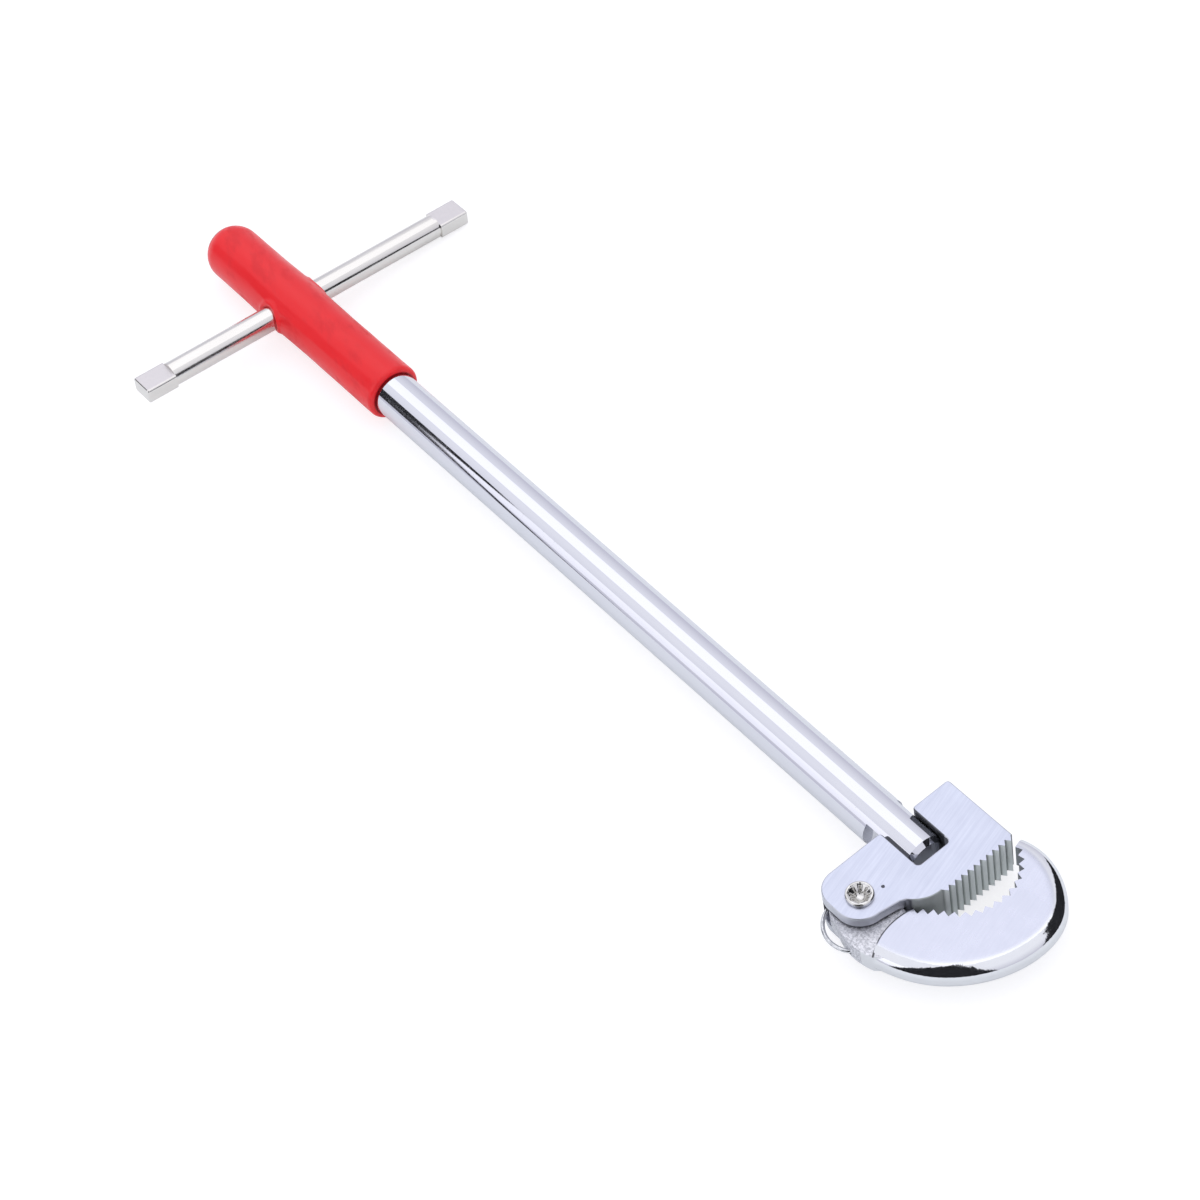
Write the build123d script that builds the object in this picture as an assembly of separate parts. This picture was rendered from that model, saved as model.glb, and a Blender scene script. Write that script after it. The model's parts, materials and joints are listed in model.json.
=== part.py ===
from build123d import *
import math
import os

# Adjustable basin wrench. All sizes are in millimetres.
# The origin is the centre of the fixed jaw's toothed face, at the middle of its thickness.
# +X points away from the handle, +Y towards the tip of the hook, and +Z is normal to the
# flat face of the head.

# Shaft
shaft_radius = 5.5
shaft_axis_y = -4.6
shaft_head_end_x = -10.1
shaft_grip_end_x = -260.1
shaft_end_chamfer = 1.0
shaft_grip_end_round = 2.5
tongue_length = 13.0
tongue_half_width = 4.1

# Grip sleeve
grip_radius = 6.95
grip_length = 72.7
grip_dome_thickness = 4.8
grip_end_round = 6.2
grip_mouth_round = 0.5
grip_bulge_radius = 7.35
grip_bulge_half_length = 11.0
grip_lip_radius = 4.3
grip_lip_height = 0.3
grip_bond_gap = 0.02

# Sliding T-bar
bar_radius = 3.0
bar_length = 94.0
bar_offset = 3.2
bar_from_shaft_end = 26.6
bar_twist = -5.7
bar_flat_length = 8.0
bar_flat_thickness = 4.0
bar_flat_width = 6.5
bar_flat_corner = 0.7
bar_tip_break = 0.4
bar_clearance = 0.08

# Head body
head_thickness = 11.0
head_back_x = -18.6
head_far_y = 9.6
head_corner_round = 0.8
head_edge_break = 0.3
fork_clearance = 0.2
fork_floor_x = -7.4
fork_floor_round = 0.9
swivel_x = -14.4
swivel_pin_radius = 1.8
swivel_pin_clearance = 0.05
swivel_pin_blind_y = -13.0

# Fixed jaw teeth
tooth_pitch = 1.68
tooth_depth = 1.1
tooth_count = 11

# Lug that carries the hook
rivet_x = -10.4
rivet_y = -21.8
rivet_radius = 2.0
rivet_clearance = 0.05
lug_radius = 5.75
lug_back_round = 5.0
lug_waist_x = -3.9
lug_waist_y = -17.2
sweep_start = (-3.3, -15.9)
sweep_middle = (-0.7, -12.7)

# Rivet heads
rivet_head_radius = 3.0
rivet_head_height = 0.9
rivet_mouth_radius = 2.2
rivet_mouth_depth = 2.0
rivet_core_radius = 0.9
rivet_notch_width = 0.5
rivet_notch_count = 8
rivet_foot_height = 0.8
rivet_foot_round = 0.7
rivet_crown_round = 0.5
rivet_notch_length = 1.0

# Hook jaw
hook_thickness = 6.6
tang_thickness = 5.0
tang_radius = 6.5
tang_side_clearance = 0.25
tang_end_clearance = 0.5
tang_heel_middle = (-5.6, -29.5)
tang_slot_back_angle = 215.0
tang_root_overlap = 2.0
throat_start = (1.6, 8.9)
throat_shoulder = (6.6, 4.6)
throat_side = (8.1, -1.6)
throat_floor = (5.3, -9.3)
throat_lower = (1.9, -12.1)
throat_heel = (-2.0, -15.5)
heel_slope = (-1.0, -0.85)
hook_tooth_pitch = 2.1
hook_tooth_depth = 1.2
hook_rim_width = 4.0
hook_rim_height = 2.6
hook_tip = (0.5, 11.6)
hook_heel = (0.5, -28.6)
hook_outer_points = [
    (0.0, 11.9),
    (6.0, 12.9),
    (13.8, 10.6),
    (19.6, 5.4),
    (21.6, -3.4),
    (18.6, -14.4),
    (11.0, -23.6),
    hook_heel,
]
hook_closing_points = [(-14.0, -28.0), (-22.0, -10.0), (-12.0, 7.0)]
step_middle = (-2.3, -22.0)
tang_shoulder = (-3.2, -16.6)

# Bow spring
spring_wire_radius = 0.45
spring_bow_x = -9.8
spring_bow_y = -24.3
spring_bow_radius = 6.5
spring_z = -1.5
spring_start_angle = 198.0
spring_end_angle = 312.0
spring_anchor = (-17.9, -23.4)
spring_tail_length = 2.2
spring_hole_clearance = 0.08

# How far past the head the cutting shapes reach
cut_reach = 60.0

# Sizes that follow from the ones above
head_top = head_thickness / 2
fork_half_width = tongue_half_width + fork_clearance
tooth_face_half = tooth_pitch * tooth_count / 2
tang_slot_half = tang_thickness / 2 + tang_side_clearance
tang_slot_radius = tang_radius + tang_end_clearance
bar_hole_radius = bar_radius + bar_clearance
bar_x = shaft_grip_end_x + bar_from_shaft_end
grip_end_x = shaft_grip_end_x - grip_dome_thickness
grip_mouth_x = grip_end_x + grip_length


def disc(radius, x, y, height, z_low):
    """Upright cylinder standing on z_low."""
    return Pos(x, y, z_low + height / 2) * Cylinder(radius, height)


def along_x(radius, x_low, x_high):
    """Cylinder on the shaft axis between two X positions."""
    middle = (x_low + x_high) / 2
    return Pos(middle, shaft_axis_y, 0) * Rot(0, 90, 0) * Cylinder(radius, x_high - x_low)


def polar(radius, degrees):
    """Offset from a centre at the given radius and angle."""
    turn = math.radians(degrees)
    return Vector(radius * math.cos(turn), radius * math.sin(turn))


def across(radius, length):
    """Cylinder on the cross hole's axis, centred on the shaft axis."""
    upright = Rot(bar_twist, 0, 0) * Rot(90, 0, 0)
    return Pos(bar_x, shaft_axis_y, 0) * upright * Cylinder(radius, length)


def make_shaft():
    rod = along_x(shaft_radius, shaft_grip_end_x, shaft_head_end_x)
    rod = chamfer(rod.edges().sort_by(Axis.X)[-1], shaft_end_chamfer)
    rod = fillet(rod.edges().sort_by(Axis.X)[0], shaft_grip_end_round)
    side = shaft_radius - tongue_half_width
    middle_x = shaft_head_end_x - tongue_length / 2
    for direction in (-1, 1):
        cut_y = shaft_axis_y + direction * (tongue_half_width + side)
        rod -= Pos(middle_x, cut_y, 0) * Box(tongue_length, 2 * side, cut_reach)
    rod -= across(bar_hole_radius, cut_reach)
    bore = Cylinder(swivel_pin_radius + swivel_pin_clearance, cut_reach)
    return rod - Pos(swivel_x, shaft_axis_y, 0) * Rot(90, 0, 0) * bore


def make_grip():
    sleeve = along_x(grip_radius, grip_end_x, grip_mouth_x)
    sleeve = fillet(sleeve.edges().sort_by(Axis.X)[0], grip_end_round)
    sleeve = fillet(sleeve.edges().sort_by(Axis.X)[-1], grip_mouth_round)
    half = grip_bulge_half_length
    bulge_arc = ThreePointArc(
        (bar_x - half, shaft_axis_y + grip_radius),
        (bar_x, shaft_axis_y + grip_bulge_radius),
        (bar_x + half, shaft_axis_y + grip_radius),
    )
    bulge_base = Polyline(
        (bar_x + half, shaft_axis_y + grip_radius),
        (bar_x + half, shaft_axis_y),
        (bar_x - half, shaft_axis_y),
        (bar_x - half, shaft_axis_y + grip_radius),
    )
    bulge = revolve(make_face([bulge_arc, bulge_base]), Axis((0, shaft_axis_y, 0), (1, 0, 0)))
    sleeve += bulge
    lip_span = 2 * (grip_bulge_radius + grip_lip_height)
    lips = across(grip_lip_radius, lip_span)
    lips = fillet(lips.edges().filter_by(GeomType.CIRCLE), grip_lip_height)
    sleeve += lips
    cavity_radius = shaft_radius + grip_bond_gap
    cavity = along_x(cavity_radius, shaft_grip_end_x - grip_bond_gap, grip_mouth_x + cavity_radius)
    cavity = fillet(cavity.edges().sort_by(Axis.X)[0], shaft_grip_end_round)
    return sleeve - cavity - across(bar_hole_radius, cut_reach)


def make_bar():
    round_length = bar_length - 2 * bar_flat_length
    bar = Rot(90, 0, 0) * Cylinder(bar_radius, round_length)
    for direction in (-1, 1):
        end = Box(bar_flat_width, bar_flat_length, bar_flat_thickness)
        end = fillet(end.edges().filter_by(Axis.Y), bar_flat_corner)
        end = fillet(end.edges().group_by(Axis.Y)[0 if direction < 0 else -1], bar_tip_break)
        bar += Pos(0, direction * (bar_length - bar_flat_length) / 2, 0) * end
    placed = Pos(bar_x, shaft_axis_y, 0) * Rot(bar_twist, 0, 0)
    return placed * Pos(0, bar_offset, 0) * bar


def tooth_line():
    """Points of the fixed jaw's toothed face, from the lug side to the tip side."""
    points = []
    for index in range(tooth_count):
        low = -tooth_face_half + index * tooth_pitch
        points.append((0, low))
        points.append((tooth_depth, low + tooth_pitch / 2))
    points.append((0, tooth_face_half))
    return points


def make_head_outline():
    back_left_y = rivet_y - lug_radius
    teeth = Polyline(*tooth_line())
    top = Polyline(
        (0, tooth_face_half),
        (0, head_far_y),
        (head_back_x, head_far_y),
        (head_back_x, back_left_y),
        (rivet_x, back_left_y),
    )
    lug = CenterArc((rivet_x, rivet_y), lug_radius, -90, 90)
    waist = Line((rivet_x + lug_radius, rivet_y), (lug_waist_x, lug_waist_y))
    neck = Line((lug_waist_x, lug_waist_y), sweep_start)
    sweep = ThreePointArc(sweep_start, sweep_middle, (0, -tooth_face_half))
    return make_face([teeth, top, lug, waist, neck, sweep])


def make_head():
    body = Pos(0, 0, -head_top) * extrude(make_head_outline(), head_thickness)
    upright = body.edges().filter_by(Axis.Z)
    back_left = upright.sort_by_distance((head_back_x, rivet_y - lug_radius, 0))[0]
    body = fillet(back_left, lug_back_round)
    upright = body.edges().filter_by(Axis.Z)
    back_right = upright.sort_by_distance((head_back_x, head_far_y, 0))[0]
    body = fillet(back_right, head_corner_round) - make_fork_slot()
    upright = body.edges().filter_by(Axis.Z)
    tips = [
        upright.sort_by_distance((head_back_x, shaft_axis_y + side * fork_half_width, 0))[0]
        for side in (-1, 1)
    ]
    body = fillet(tips, head_corner_round)
    body = fillet(outer_rims(body), head_edge_break)
    body -= make_tang_slot()
    pin_length = head_far_y - swivel_pin_blind_y
    pin_middle = (head_far_y + swivel_pin_blind_y) / 2
    body -= Pos(swivel_x, pin_middle, 0) * Rot(90, 0, 0) * Cylinder(swivel_pin_radius, pin_length)
    body -= disc(rivet_radius, rivet_x, rivet_y, 2 * head_thickness, -head_thickness)
    return body - make_spring(spring_wire_radius + spring_hole_clearance)


def outer_rims(body):
    """Edges of the two flat faces, without those on the jaw's toothed side."""
    rims = body.edges().group_by(Axis.Z)
    return [edge for edge in rims[0] + rims[-1] if edge.center().X < -head_edge_break]


def make_fork_slot():
    length = fork_floor_x - head_back_x
    slot = Box(2 * length, 2 * fork_half_width, 2 * head_thickness)
    slot = fillet(slot.edges().filter_by(Axis.Z).group_by(Axis.X)[-1], fork_floor_round)
    return Pos(fork_floor_x - length, shaft_axis_y, 0) * slot


def make_tang_slot():
    """Gap between the two cheeks, wide enough for the tang to turn in and open below."""
    height = 2 * tang_slot_half
    gap = disc(tang_slot_radius, rivet_x, rivet_y, height, -tang_slot_half)
    ceiling = tang_shoulder[1] + tang_end_clearance
    back = polar(cut_reach, tang_slot_back_angle)
    opening = Polyline(
        (rivet_x, rivet_y),
        (rivet_x, rivet_y + tang_slot_radius),
        (tang_shoulder[0], ceiling),
        (rivet_x + cut_reach, ceiling),
        (rivet_x + cut_reach, rivet_y - cut_reach),
        (rivet_x + back.X, rivet_y + back.Y),
        close=True,
    )
    return gap + Pos(0, 0, -tang_slot_half) * extrude(make_face(opening), height)


def make_rivet():
    """Semi-tubular rivet: plain foot below, split and flared mouth above."""
    foot_z = -head_top - rivet_foot_height
    crown_z = head_top + rivet_head_height
    body = disc(rivet_radius, rivet_x, rivet_y, head_thickness, -head_top)
    foot = disc(rivet_head_radius, rivet_x, rivet_y, rivet_foot_height, foot_z)
    foot = fillet(foot.edges().group_by(Axis.Z)[0], rivet_foot_round)
    crown = disc(rivet_head_radius, rivet_x, rivet_y, rivet_head_height, head_top)
    crown = fillet(crown.edges().group_by(Axis.Z)[-1], rivet_crown_round)
    flare = Cone(rivet_core_radius, rivet_mouth_radius, rivet_mouth_depth)
    rivet = body + foot + crown
    rivet -= Pos(rivet_x, rivet_y, crown_z - rivet_mouth_depth / 2) * flare
    for index in range(rivet_notch_count):
        turn = 360 / rivet_notch_count * index
        notch = Box(rivet_notch_length, rivet_notch_width, rivet_head_height)
        notch = Pos(rivet_mouth_radius, 0, crown_z) * notch
        rivet -= Pos(rivet_x, rivet_y, 0) * Rot(0, 0, turn) * notch
    return rivet


def make_swivel_pin():
    length = head_far_y - swivel_pin_blind_y
    pin = Cylinder(swivel_pin_radius, length)
    pin = chamfer(pin.edges().filter_by(GeomType.CIRCLE), head_edge_break)
    return Pos(swivel_x, (head_far_y + swivel_pin_blind_y) / 2, 0) * Rot(90, 0, 0) * pin


def throat_path():
    """Line through the tips of the hook's teeth, from the tip to the heel."""
    ring = ThreePointArc(throat_start, throat_shoulder, throat_side)
    lower = Spline(throat_side, throat_floor, throat_lower, throat_heel, tangents=[ring % 1, heel_slope])
    return Wire([ring, lower])


def hook_teeth():
    """Toothed edge of the throat: tips on the path, roots a tooth depth outside it."""
    path = throat_path()
    count = round(path.length / hook_tooth_pitch)
    points = []
    for index in range(count):
        points.append(path @ (index / count))
        root = (index + 0.5) / count
        outward = (path % root).rotate(Axis.Z, 90)
        points.append(path @ root + outward * hook_tooth_depth)
    points.append(path @ 1)
    return Polyline(*points)


def make_hook_blank():
    """Untoothed plate whose rim rolls off as part of an ellipse, wider than it is high."""
    swell = hook_rim_width / hook_rim_height
    loop = Spline(*hook_outer_points, *hook_closing_points, periodic=True)
    plate = extrude(make_face(loop), hook_thickness * swell)
    plate = Pos(0, 0, -hook_thickness * swell / 2) * plate
    ends = plate.edges().group_by(Axis.Z)
    plate = fillet(ends[0] + ends[-1], hook_rim_width)
    return scale(plate, by=(1, 1, 1 / swell))


def make_hook():
    teeth = hook_teeth()
    step = ThreePointArc(hook_heel, step_middle, teeth @ 1)
    around = Polyline(
        teeth @ 0,
        hook_tip,
        (hook_tip[0], cut_reach),
        (-cut_reach, cut_reach),
        (-cut_reach, -cut_reach),
        (hook_heel[0], -cut_reach),
        hook_heel,
    )
    waste = extrude(make_face([teeth, around, step]), 2 * hook_thickness)
    hook = make_hook_blank() - Pos(0, 0, -hook_thickness) * waste
    hook += make_tang(teeth @ 1)
    bore_radius = rivet_radius + rivet_clearance
    hook -= disc(bore_radius, rivet_x, rivet_y, 2 * head_thickness, -head_thickness)
    return hook - make_spring(spring_wire_radius + spring_hole_clearance)


def make_tang(throat_end):
    """Eye round the rivet and the thin web that runs on into the hook's thick plate."""
    low = -tang_thickness / 2
    eye = disc(tang_radius, rivet_x, rivet_y, tang_thickness, low)
    eye_bottom = (rivet_x, rivet_y - tang_radius)
    sides = Polyline(
        eye_bottom,
        (rivet_x, rivet_y + tang_radius),
        tang_shoulder,
        (throat_end.X + tang_root_overlap, throat_end.Y - tang_root_overlap),
        (hook_heel[0] + tang_root_overlap, hook_heel[1] + tang_root_overlap),
        hook_heel,
    )
    edge = ThreePointArc(hook_heel, tang_heel_middle, eye_bottom)
    return eye + Pos(0, 0, low) * extrude(make_face([sides, edge]), tang_thickness)


def make_spring(wire_radius):
    """Bow of wire round the tang's heel, anchored in the head and in the tang's lower edge."""
    centre = Vector(spring_bow_x, spring_bow_y, spring_z)
    start = centre + polar(spring_bow_radius, spring_start_angle)
    finish = centre + polar(spring_bow_radius, spring_end_angle)
    middle = centre + polar(spring_bow_radius, (spring_start_angle + spring_end_angle) / 2)
    bow = ThreePointArc(start, middle, finish)
    head_leg = Line(Vector(*spring_anchor, spring_z), start)
    tail = Line(finish, centre + polar(spring_bow_radius - spring_tail_length, spring_end_angle))
    wire = Plane(bow @ 0, z_dir=bow % 0) * Circle(wire_radius)
    body = sweep(wire, bow)
    for leg in (head_leg, tail):
        body += sweep(Plane(leg @ 0, z_dir=leg % 0) * Circle(wire_radius), leg)
    for joint in (start, finish):
        body += Pos(joint) * Sphere(wire_radius)
    return body


def build_all():
    return {
        "shaft": make_shaft(),
        "grip_sleeve": make_grip(),
        "t_bar": make_bar(),
        "head_body": make_head(),
        "hook_jaw": make_hook(),
        "jaw_rivet": make_rivet(),
        "swivel_pin": make_swivel_pin(),
        "jaw_spring": make_spring(spring_wire_radius),
    }


os.makedirs("parts", exist_ok=True)
for name, shape in build_all().items():
    shape.label = name
    export_step(shape, f"parts/{name}.step")
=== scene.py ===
import json
import math

import bpy
import bmesh
from mathutils import Matrix, Vector


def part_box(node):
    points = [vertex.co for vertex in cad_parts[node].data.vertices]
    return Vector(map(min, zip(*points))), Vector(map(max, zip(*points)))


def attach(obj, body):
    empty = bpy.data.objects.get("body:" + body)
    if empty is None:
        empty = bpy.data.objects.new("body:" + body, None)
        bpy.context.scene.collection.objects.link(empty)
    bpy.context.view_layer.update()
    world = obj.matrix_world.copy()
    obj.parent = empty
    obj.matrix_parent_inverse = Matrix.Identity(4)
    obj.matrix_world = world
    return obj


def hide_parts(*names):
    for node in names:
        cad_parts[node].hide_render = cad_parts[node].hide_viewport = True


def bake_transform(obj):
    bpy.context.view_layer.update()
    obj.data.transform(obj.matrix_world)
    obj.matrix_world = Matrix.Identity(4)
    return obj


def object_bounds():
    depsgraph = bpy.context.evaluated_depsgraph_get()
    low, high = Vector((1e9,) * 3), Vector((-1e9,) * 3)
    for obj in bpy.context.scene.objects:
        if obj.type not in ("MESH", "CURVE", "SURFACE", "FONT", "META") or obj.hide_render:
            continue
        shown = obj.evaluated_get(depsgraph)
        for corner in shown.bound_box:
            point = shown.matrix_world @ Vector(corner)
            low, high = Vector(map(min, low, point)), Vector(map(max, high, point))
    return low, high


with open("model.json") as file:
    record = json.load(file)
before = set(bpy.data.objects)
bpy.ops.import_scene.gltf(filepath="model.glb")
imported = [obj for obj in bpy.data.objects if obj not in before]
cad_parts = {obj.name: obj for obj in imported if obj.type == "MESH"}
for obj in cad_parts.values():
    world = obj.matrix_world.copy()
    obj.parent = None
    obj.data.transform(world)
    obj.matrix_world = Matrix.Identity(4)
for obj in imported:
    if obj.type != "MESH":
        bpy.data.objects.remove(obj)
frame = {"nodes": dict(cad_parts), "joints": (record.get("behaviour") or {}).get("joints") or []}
cad_low, cad_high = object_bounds()

# An adjustable basin wrench lying on a white table. The scene is in metres, and sizes of the
# object's own details are given in millimetres through MM. +X points away from the handle,
# +Y towards the tip of the hook and +Z up from the flat face of the head.

MM = 0.001

# Places read from the frame
shaft_low, shaft_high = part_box("shaft")
grip_low, grip_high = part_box("grip_sleeve")
bar_low, bar_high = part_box("t_bar")
head_low, head_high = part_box("head_body")
rivet_low, rivet_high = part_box("jaw_rivet")
hook_low, hook_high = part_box("hook_jaw")
shaft_y = (shaft_low.y + shaft_high.y) / 2
shaft_radius = (shaft_high.y - shaft_low.y) / 2
bar_x = (bar_low.x + bar_high.x) / 2
bar_y = (bar_low.y + bar_high.y) / 2
rivet_x = (rivet_low.x + rivet_high.x) / 2
rivet_y = (rivet_low.y + rivet_high.y) / 2
bar_joint = next(joint for joint in frame["joints"] if joint["name"] == "bar_slide")
bar_axis = Vector(bar_joint["axis"]).normalized()


# ---------------------------------------------------------------- camera
# Fitted to the object's outline in the photograph. Angles are in degrees, the lens and sensor
# in millimetres and the rest in metres.

camera_azimuth = 61.08
camera_elevation = 50.73
camera_roll = -12.95
camera_distance = 0.68326
camera_lens = 93.95
camera_sensor = 36.0
aim_behind_jaw = 0.10969
aim_beside_jaw = 0.00923


def direction(azimuth, elevation):
    """Unit vector towards a place round the object: azimuth 0 is -Y and 90 is +X."""
    turn = math.radians(azimuth)
    rise = math.radians(elevation)
    level = math.cos(rise)
    return Vector((math.sin(turn) * level, -math.cos(turn) * level, math.sin(rise)))


def make_camera():
    """Long-lens view from above the hook, turned about its own axis."""
    back = direction(camera_azimuth, camera_elevation)
    aim = Vector((-aim_behind_jaw, -aim_beside_jaw, 0))
    data = bpy.data.cameras.new("camera")
    data.lens = camera_lens
    data.sensor_width = camera_sensor
    camera = bpy.data.objects.new("camera", data)
    bpy.context.scene.collection.objects.link(camera)
    look = (-back).to_track_quat("-Z", "Y").to_matrix().to_4x4()
    roll = Matrix.Rotation(math.radians(camera_roll), 4, "Z")
    camera.matrix_world = Matrix.Translation(aim + back * camera_distance) @ look @ roll
    bpy.context.scene.camera = camera


# ---------------------------------------------------------------- studio
# Distances are in metres and angles in degrees. The lamps and the dark cards only show as
# reflections: they draw the light and dark bands along the shaft and round the hook's rim.

table_size = 6.0
table_gap = 0.1 * MM
table_shade = (0.36, 0.36, 0.37)
table_glow = (0.74, 0.74, 0.745)
table_grey = (0.78, 0.80, 0.80)
table_grey_glow = 0.11

sky_colour = (1.0, 1.01, 1.08)
sky_height = 0.75
sky_strength = 1.0
horizon_colour = (0.70, 0.70, 0.80)
horizon_height = 0.05

lamp_radiance = 0.34
box_distance = 0.9
box_length = 1.6
box_x = -0.65

card_colour = (0.012, 0.012, 0.014)
curtain_columns = 48
curtain_rows = 10
curtain_least = 0.02
wave_height_share = 0.05
wave_fast = 17
wave_slow = 5
wave_shift = 1

# Outline of the card beside the shaft, as (x, z). Its slanting end draws the dark wedge that
# narrows along the shaft away from the grip.
wedge_aside = 0.55
wedge_outline = [
    (-1.30, 0.10),
    (-0.60, 0.105),
    (-0.56, 0.05),
    (-0.545, 0.006),
    (-0.45, 0.004),
    (-0.46, 0.016),
    (-0.505, 0.032),
    (-0.55, 0.10),
    (-0.59, 0.19),
    (-0.635, 0.24),
    (-0.652, 0.29),
    (-0.655, 0.36),
    (-0.65, 0.42),
    (-0.668, 0.49),
    (-0.72, 0.56),
    (-1.30, 0.62),
]


def make_world():
    """Soft tent light, a little greyer towards the horizon."""
    world = bpy.data.worlds.new("studio")
    bpy.context.scene.world = world
    world.use_nodes = True
    tree = world.node_tree
    towards = tree.nodes.new("ShaderNodeTexCoord")
    height = tree.nodes.new("ShaderNodeSeparateXYZ")
    tree.links.new(towards.outputs["Generated"], height.inputs["Vector"])
    fade = tree.nodes.new("ShaderNodeValToRGB")
    fade.color_ramp.elements[0].position = horizon_height
    fade.color_ramp.elements[0].color = (*horizon_colour, 1)
    fade.color_ramp.elements[1].position = sky_height
    fade.color_ramp.elements[1].color = (*sky_colour, 1)
    tree.links.new(height.outputs["Z"], fade.inputs["Fac"])
    shade = tree.nodes["Background"]
    shade.inputs["Strength"].default_value = sky_strength
    tree.links.new(fade.outputs["Color"], shade.inputs["Color"])


def softbox(name, angle, width):
    """Long lamp beside the shaft. angle is measured about the shaft, from +Y through +Z."""
    turn = math.radians(angle)
    outward = Vector((0, math.cos(turn), math.sin(turn)))
    data = bpy.data.lights.new(name, "AREA")
    data.shape = "RECTANGLE"
    data.size = box_length
    data.size_y = width
    data.energy = lamp_radiance * box_length * width * math.pi
    lamp = bpy.data.objects.new(name, data)
    bpy.context.scene.collection.objects.link(lamp)
    lamp.location = Vector((box_x, shaft_y, 0)) + outward * box_distance
    sideways = Vector((1, 0, 0))
    lamp.rotation_euler = Matrix(
        (sideways, outward.cross(sideways), outward)
    ).transposed().to_euler()
    lamp.visible_camera = False


def plain_material(name, colour, rough):
    """Material of one colour, and the shader in it."""
    material = bpy.data.materials.new(name)
    material.use_nodes = True
    shader = material.node_tree.nodes["Principled BSDF"]
    shader.inputs["Base Color"].default_value = (*colour, 1)
    shader.inputs["Roughness"].default_value = rough
    return material, shader


def dark_piece(name, mesh):
    """Black piece that only shows as a reflection in the bright metal."""
    piece = bpy.data.objects.new(name, mesh)
    bpy.context.scene.collection.objects.link(piece)
    mesh.materials.append(plain_material(name, card_colour, rough=1.0)[0])
    piece.visible_camera = False
    piece.visible_diffuse = False
    piece.visible_shadow = False


def card(name, corners):
    """Flat dark card with the given corners."""
    mesh = bpy.data.meshes.new(name)
    mesh.from_pydata(corners, [], [list(range(len(corners)))])
    dark_piece(name, mesh)


def curtain(name, distance, start, finish, low, high, taper):
    """Curved dark card round the hook, from azimuth start to finish and from elevation low to
    high. It narrows to its two ends, later for a larger taper, and its top edge is wavy."""
    middle = Vector(((hook_low.x + hook_high.x) / 2, (hook_low.y + hook_high.y) / 2, 0))
    verts = []
    for i in range(curtain_columns + 1):
        share = 2 * i / curtain_columns - 1
        wave = math.sin(wave_fast * share) * math.sin(wave_slow * share + wave_shift)
        reach = max(curtain_least, 1 - abs(share) ** taper) + wave_height_share * wave
        top = low + (high - low) * min(1.0, max(curtain_least, reach))
        turn = start + (finish - start) * i / curtain_columns
        for j in range(curtain_rows + 1):
            rise = low + (top - low) * j / curtain_rows
            verts.append(middle + direction(turn, rise) * distance)
    faces = []
    for i in range(curtain_columns):
        for j in range(curtain_rows):
            a = i * (curtain_rows + 1) + j
            b = a + curtain_rows + 1
            faces.append((a, b, b + 1, a + 1))
    mesh = bpy.data.meshes.new(name)
    mesh.from_pydata(verts, [], faces)
    dark_piece(name, mesh)


def table_plane(name, z, material):
    """Square sheet of table at height z."""
    half = table_size / 2
    corners = [(-half, -half, z), (half, -half, z), (half, half, z), (-half, half, z)]
    mesh = bpy.data.meshes.new(name)
    mesh.from_pydata(corners, [], [[0, 1, 2, 3]])
    plane = bpy.data.objects.new(name, mesh)
    bpy.context.scene.collection.objects.link(plane)
    mesh.materials.append(material)
    return plane


def make_table():
    """White table for the camera, and a greyer one just under it for the metal to reflect."""
    white, shader = plain_material("table_white", table_shade, rough=0.9)
    shader.inputs["Specular IOR Level"].default_value = 0.0
    shader.inputs["Emission Color"].default_value = (*table_glow, 1)
    shader.inputs["Emission Strength"].default_value = 1.0
    seen = table_plane("table_top", cad_low.z, white)
    seen.visible_glossy = False
    seen.visible_diffuse = False
    seen.visible_shadow = False
    grey, shader = plain_material("table_grey", table_grey, rough=1.0)
    shader.inputs["Emission Color"].default_value = (1, 1, 1, 1)
    shader.inputs["Emission Strength"].default_value = table_grey_glow
    mirrored = table_plane("table_under", cad_low.z - table_gap, grey)
    mirrored.visible_camera = False


def make_studio():
    """All that surrounds the object."""
    make_world()
    make_table()
    softbox("top_box", angle=77, width=0.70)
    softbox("side_box", angle=152, width=0.45)
    card("wedge_card", [(x, shaft_y - wedge_aside, z) for x, z in wedge_outline])
    curtain("front_curtain", distance=0.8, start=4, finish=74, low=0.4, high=88, taper=3)
    curtain("side_curtain", distance=0.15, start=110, finish=196, low=2, high=56, taper=2.5)


# ---------------------------------------------------------------- material nodes


def add(tree, kind, inputs=None, **settings):
    """New node with its settings, and its inputs set to values or joined to other outputs."""
    node = tree.nodes.new(kind)
    for key, value in settings.items():
        setattr(node, key, value)
    for key, value in (inputs or {}).items():
        if isinstance(value, bpy.types.NodeSocket):
            tree.links.new(value, node.inputs[key])
        else:
            node.inputs[key].default_value = value
    return node


def math_node(tree, operation, *values):
    return add(tree, "ShaderNodeMath", dict(enumerate(values)), operation=operation).outputs[0]


def plus(tree, first, second):
    return math_node(tree, "ADD", first, second)


def minus(tree, first, second):
    return math_node(tree, "SUBTRACT", first, second)


def times(tree, first, second):
    return math_node(tree, "MULTIPLY", first, second)


def unsigned(tree, value):
    return math_node(tree, "ABSOLUTE", value)


def is_less(tree, value, limit):
    return math_node(tree, "LESS_THAN", value, limit)


def is_more(tree, value, limit):
    return math_node(tree, "GREATER_THAN", value, limit)


def span(tree, first, second):
    """Distance covered by two steps at right angles."""
    return math_node(tree, "SQRT", plus(tree, times(tree, first, first), times(tree, second, second)))


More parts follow.
